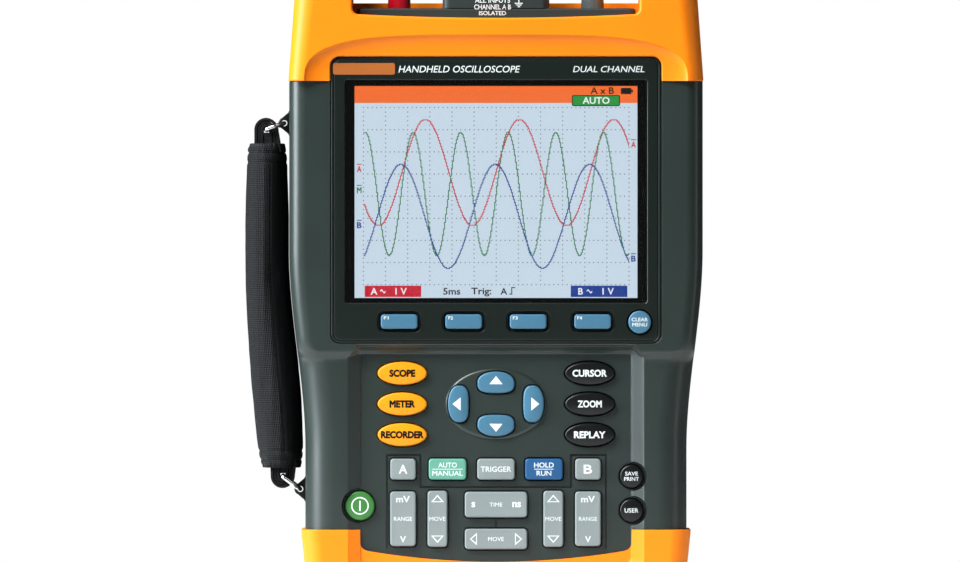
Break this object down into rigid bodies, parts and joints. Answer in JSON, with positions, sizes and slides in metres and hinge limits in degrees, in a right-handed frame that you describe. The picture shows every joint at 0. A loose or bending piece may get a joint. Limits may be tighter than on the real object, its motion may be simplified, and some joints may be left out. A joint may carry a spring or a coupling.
{
  "type": "handheld oscilloscope",
  "caption": "Handheld oscilloscope with a colour display, sunk keypad, rubber end bumpers, top inputs, padded side hand strap and rear tilt stand.",
  "frame": {"origin": "middle of the flat resting face under the lower bumper", "axes": "+Z towards the input end, -Y is the way the display faces, +X to the reader's right"},
  "size_m": [0.1872, 0.064, 0.256],
  "materials": {
    "case_plastic": "fine moulded texture",
    "bumper_rubber": "smooth satin overmould",
    "bezel_plastic": "fine texture",
    "window": "hard-coated clear window",
    "lcd": "lit display",
    "panel_plastic": "fine texture",
    "contact_metal": "nickel and gold plated",
    "red_plastic": "gloss",
    "grey_plastic": "gloss",
    "black_plastic": "satin",
    "circuit_board": "solder mask",
    "mat_silicone": "matt",
    "shield_tin": "tin plate",
    "battery_wrap": "shrink wrap",
    "pin_steel": "ground",
    "screw_steel": "black finish",
    "insert_brass": "machined",
    "ring_steel": "bright",
    "sleeve_fabric": "pebbled neoprene",
    "webbing_fabric": "woven",
    "port_lens": "infrared window",
    "foot_rubber": "matt",
    "key_blue": "satin",
    "key_yellow": "satin",
    "key_black": "satin",
    "key_green": "satin",
    "key_teal": "satin",
    "key_navy": "satin",
    "key_grey": "satin"
  },
  "bodies": {
    "case": {"front_case": "case_plastic", "rear_case": "case_plastic", "top_bumper": "bumper_rubber", "bottom_bumper": "bumper_rubber", "display_bezel": "bezel_plastic", "display_window": "window", "lcd_panel": "lcd", "input_panel": "panel_plastic", "socket_block": "panel_plastic", "bnc_cores": "contact_metal", "bnc_shell_a": "red_plastic", "bnc_shell_b": "grey_plastic", "banana_jack_red": "red_plastic", "banana_jack_black": "black_plastic", "main_board": "circuit_board", "keypad_board": "circuit_board", "keypad_mat": "mat_silicone", "input_shield": "shield_tin", "battery_pack": "battery_wrap", "battery_cover": "case_plastic", "stand_pins": "pin_steel", "case_screws": "screw_steel", "strap_inserts": "insert_brass", "strap_lugs": "black_plastic", "dc_jack": "black_plastic", "optical_port": "port_lens", "rear_feet": "foot_rubber"},
    "key_f1": {"key_f1": "key_blue"},
    "key_f2": {"key_f2": "key_blue"},
    "key_f3": {"key_f3": "key_blue"},
    "key_f4": {"key_f4": "key_blue"},
    "key_clear": {"key_clear": "key_blue"},
    "key_scope": {"key_scope": "key_yellow"},
    "key_meter": {"key_meter": "key_yellow"},
    "key_recorder": {"key_recorder": "key_yellow"},
    "key_cursor": {"key_cursor": "key_black"},
    "key_zoom": {"key_zoom": "key_black"},
    "key_replay": {"key_replay": "key_black"},
    "key_up": {"key_up": "key_blue"},
    "key_down": {"key_down": "key_blue"},
    "key_left": {"key_left": "key_blue"},
    "key_right": {"key_right": "key_blue"},
    "key_a": {"key_a": "key_grey"},
    "key_auto": {"key_auto": "key_teal"},
    "key_trigger": {"key_trigger": "key_grey"},
    "key_hold": {"key_hold": "key_navy"},
    "key_b": {"key_b": "key_grey"},
    "key_power": {"key_power": "key_green"},
    "key_save": {"key_save": "key_black"},
    "key_user": {"key_user": "key_black"},
    "rocker_range_a": {"rocker_range_a": "key_grey"},
    "rocker_move_a": {"rocker_move_a": "key_grey"},
    "rocker_time": {"rocker_time": "key_grey"},
    "rocker_move_time": {"rocker_move_time": "key_grey"},
    "rocker_move_b": {"rocker_move_b": "key_grey"},
    "rocker_range_b": {"rocker_range_b": "key_grey"},
    "stand": {"tilt_stand": "case_plastic"},
    "hand_strap": {"strap_sleeve": "sleeve_fabric", "strap_webbing": "webbing_fabric", "strap_rings": "ring_steel"}
  },
  "joints": [
    {"name": "key_f1_press", "type": "slide", "parent": "case", "child": "key_f1", "axis": [0, 1, 0], "range_m": [0, 0.001], "stiffness_N_per_m": 800, "springref_m": -0.0004},
    {"name": "key_f2_press", "type": "slide", "parent": "case", "child": "key_f2", "axis": [0, 1, 0], "range_m": [0, 0.001], "stiffness_N_per_m": 800, "springref_m": -0.0004},
    {"name": "key_f3_press", "type": "slide", "parent": "case", "child": "key_f3", "axis": [0, 1, 0], "range_m": [0, 0.001], "stiffness_N_per_m": 800, "springref_m": -0.0004},
    {"name": "key_f4_press", "type": "slide", "parent": "case", "child": "key_f4", "axis": [0, 1, 0], "range_m": [0, 0.001], "stiffness_N_per_m": 800, "springref_m": -0.0004},
    {"name": "key_clear_press", "type": "slide", "parent": "case", "child": "key_clear", "axis": [0, 1, 0], "range_m": [0, 0.001], "stiffness_N_per_m": 800, "springref_m": -0.0004},
    {"name": "key_scope_press", "type": "slide", "parent": "case", "child": "key_scope", "axis": [0, 1, 0], "range_m": [0, 0.001], "stiffness_N_per_m": 800, "springref_m": -0.0004},
    {"name": "key_meter_press", "type": "slide", "parent": "case", "child": "key_meter", "axis": [0, 1, 0], "range_m": [0, 0.001], "stiffness_N_per_m": 800, "springref_m": -0.0004},
    {"name": "key_recorder_press", "type": "slide", "parent": "case", "child": "key_recorder", "axis": [0, 1, 0], "range_m": [0, 0.001], "stiffness_N_per_m": 800, "springref_m": -0.0004},
    {"name": "key_cursor_press", "type": "slide", "parent": "case", "child": "key_cursor", "axis": [0, 1, 0], "range_m": [0, 0.001], "stiffness_N_per_m": 800, "springref_m": -0.0004},
    {"name": "key_zoom_press", "type": "slide", "parent": "case", "child": "key_zoom", "axis": [0, 1, 0], "range_m": [0, 0.001], "stiffness_N_per_m": 800, "springref_m": -0.0004},
    {"name": "key_replay_press", "type": "slide", "parent": "case", "child": "key_replay", "axis": [0, 1, 0], "range_m": [0, 0.001], "stiffness_N_per_m": 800, "springref_m": -0.0004},
    {"name": "key_up_press", "type": "slide", "parent": "case", "child": "key_up", "axis": [0, 1, 0], "range_m": [0, 0.001], "stiffness_N_per_m": 800, "springref_m": -0.0004},
    {"name": "key_down_press", "type": "slide", "parent": "case", "child": "key_down", "axis": [0, 1, 0], "range_m": [0, 0.001], "stiffness_N_per_m": 800, "springref_m": -0.0004},
    {"name": "key_left_press", "type": "slide", "parent": "case", "child": "key_left", "axis": [0, 1, 0], "range_m": [0, 0.001], "stiffness_N_per_m": 800, "springref_m": -0.0004},
    {"name": "key_right_press", "type": "slide", "parent": "case", "child": "key_right", "axis": [0, 1, 0], "range_m": [0, 0.001], "stiffness_N_per_m": 800, "springref_m": -0.0004},
    {"name": "key_a_press", "type": "slide", "parent": "case", "child": "key_a", "axis": [0, 1, 0], "range_m": [0, 0.001], "stiffness_N_per_m": 800, "springref_m": -0.0004},
    {"name": "key_auto_press", "type": "slide", "parent": "case", "child": "key_auto", "axis": [0, 1, 0], "range_m": [0, 0.001], "stiffness_N_per_m": 800, "springref_m": -0.0004},
    {"name": "key_trigger_press", "type": "slide", "parent": "case", "child": "key_trigger", "axis": [0, 1, 0], "range_m": [0, 0.001], "stiffness_N_per_m": 800, "springref_m": -0.0004},
    {"name": "key_hold_press", "type": "slide", "parent": "case", "child": "key_hold", "axis": [0, 1, 0], "range_m": [0, 0.001], "stiffness_N_per_m": 800, "springref_m": -0.0004},
    {"name": "key_b_press", "type": "slide", "parent": "case", "child": "key_b", "axis": [0, 1, 0], "range_m": [0, 0.001], "stiffness_N_per_m": 800, "springref_m": -0.0004},
    {"name": "key_power_press", "type": "slide", "parent": "case", "child": "key_power", "axis": [0, 1, 0], "range_m": [0, 0.001], "stiffness_N_per_m": 800, "springref_m": -0.0004},
    {"name": "key_save_press", "type": "slide", "parent": "case", "child": "key_save", "axis": [0, 1, 0], "range_m": [0, 0.001], "stiffness_N_per_m": 800, "springref_m": -0.0004},
    {"name": "key_user_press", "type": "slide", "parent": "case", "child": "key_user", "axis": [0, 1, 0], "range_m": [0, 0.001], "stiffness_N_per_m": 800, "springref_m": -0.0004},
    {"name": "rocker_range_a_rock", "type": "hinge", "parent": "case", "child": "rocker_range_a", "pos_m": [-0.0378, -0.0204, 0.0268], "axis": [1, 0, 0], "range_deg": [-3, 3], "stiffness_Nm_per_rad": 0.3},
    {"name": "rocker_move_a_rock", "type": "hinge", "parent": "case", "child": "rocker_move_a", "pos_m": [-0.0238, -0.0204, 0.0268], "axis": [1, 0, 0], "range_deg": [-3, 3], "stiffness_Nm_per_rad": 0.3},
    {"name": "rocker_time_rock", "type": "hinge", "parent": "case", "child": "rocker_time", "pos_m": [0, -0.0204, 0.0326], "axis": [0, 0, 1], "range_deg": [-3, 3], "stiffness_Nm_per_rad": 0.3},
    {"name": "rocker_move_time_rock", "type": "hinge", "parent": "case", "child": "rocker_move_time", "pos_m": [0, -0.0204, 0.0186], "axis": [0, 0, 1], "range_deg": [-3, 3], "stiffness_Nm_per_rad": 0.3},
    {"name": "rocker_move_b_rock", "type": "hinge", "parent": "case", "child": "rocker_move_b", "pos_m": [0.0233, -0.0204, 0.0268], "axis": [1, 0, 0], "range_deg": [-3, 3], "stiffness_Nm_per_rad": 0.3},
    {"name": "rocker_range_b_rock", "type": "hinge", "parent": "case", "child": "rocker_range_b", "pos_m": [0.0374, -0.0204, 0.0268], "axis": [1, 0, 0], "range_deg": [-3, 3], "stiffness_Nm_per_rad": 0.3},
    {"name": "stand_hinge", "type": "hinge", "parent": "case", "child": "stand", "pos_m": [0, 0.0287, 0.126], "axis": [1, 0, 0], "range_deg": [0, 45]},
    {"name": "strap_swing", "type": "hinge", "parent": "case", "child": "hand_strap", "pos_m": [-0.0865, 0.008, 0.188], "axis": [-0.0434, 0, 0.9991], "range_deg": [-10, 10]}
  ]
}
